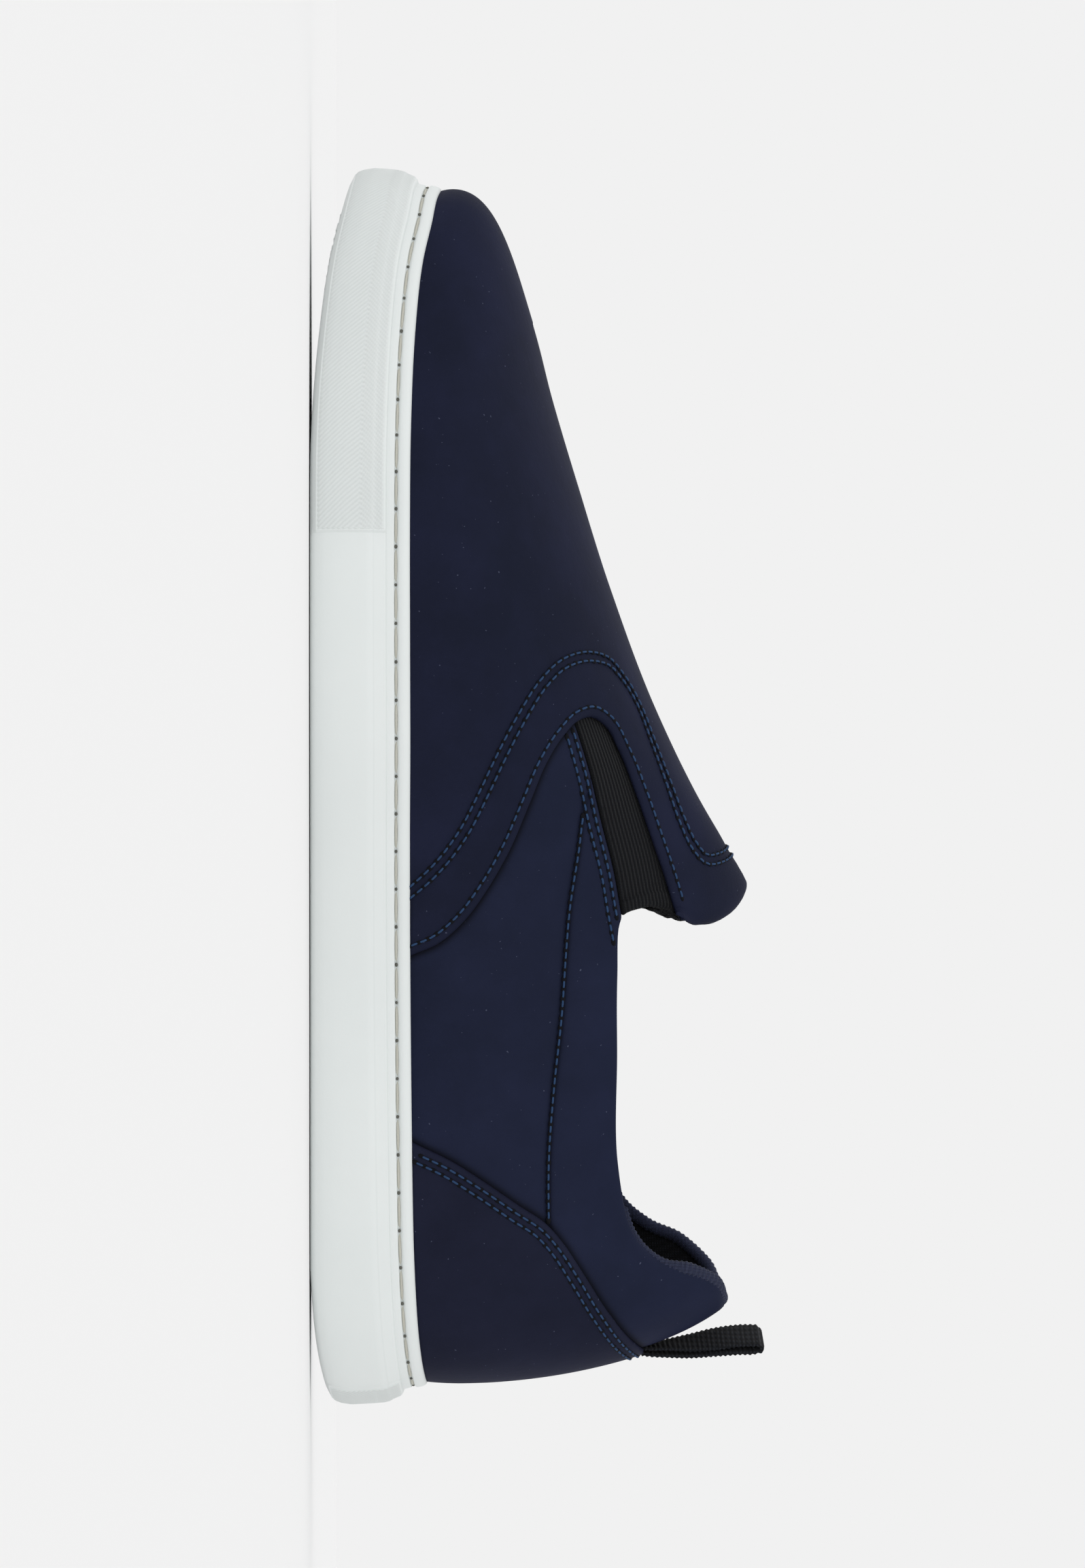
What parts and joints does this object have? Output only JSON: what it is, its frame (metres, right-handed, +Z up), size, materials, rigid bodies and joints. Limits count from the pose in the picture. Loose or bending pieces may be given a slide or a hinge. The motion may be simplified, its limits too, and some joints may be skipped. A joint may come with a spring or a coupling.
{
  "type": "slip-on sneaker",
  "caption": "Left low slip-on sneaker: white cupsole, navy upper with a saddle vamp, elastic side gores, heel counter and pull loop.",
  "frame": {"origin": "middle of the shoe's box, on the plane that the sole stands on", "axes": "+X from heel to toe, +Y to the wearer's left, which is the shoe's outer side, +Z up"},
  "size_m": [0.301, 0.1122, 0.1104],
  "materials": {
    "sole_rubber": "moulded, matt, cool white",
    "insole_fabric": "brushed black textile",
    "upper_nubuck": "matt navy coated nubuck",
    "elastic": "woven black elastic",
    "ribbon": "ribbed black grosgrain",
    "vent_metal": "satin gunmetal navy"
  },
  "bodies": {
    "root": {"cupsole": "sole_rubber", "insole": "insole_fabric", "upper": "upper_nubuck", "vamp": "upper_nubuck", "heel_counter": "upper_nubuck", "gore_lateral": "elastic", "gore_medial": "elastic", "pull_loop": "ribbon", "vent_front": "vent_metal", "vent_rear": "vent_metal"}
  },
  "joints": []
}
